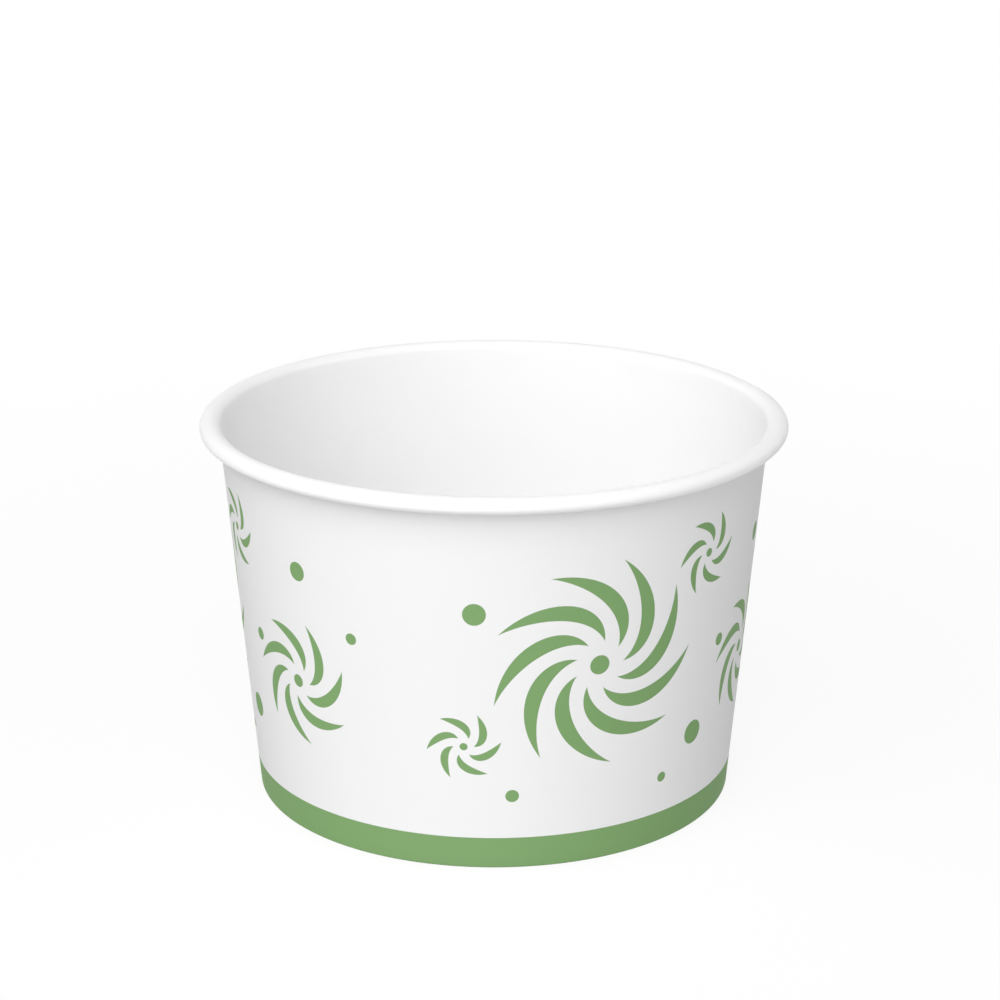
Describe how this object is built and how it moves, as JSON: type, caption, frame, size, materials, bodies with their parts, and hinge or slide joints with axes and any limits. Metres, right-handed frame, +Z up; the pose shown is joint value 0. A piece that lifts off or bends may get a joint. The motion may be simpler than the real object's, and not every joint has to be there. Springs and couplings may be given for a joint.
{
  "type": "paper sundae cup",
  "caption": "Round tapered paper cup with an outward-rolled rim, a glued side seam and a recessed flanged base held in a folded hem.",
  "frame": {"origin": "centre of the foot, on the plane that the cup stands on", "axes": "+Z up along the cup's axis, -Y towards the front of the print, +X to the right as seen from the front"},
  "size_m": [0.09, 0.09, 0.0593],
  "materials": {
    "wall_board": "smooth coated paperboard, slightly satin, printed outside with a green band and green motifs",
    "base_board": "smooth coated paperboard, slightly satin, white on both sides"
  },
  "bodies": {
    "root": {"side_wall": "wall_board", "base_disc": "base_board"}
  },
  "joints": []
}
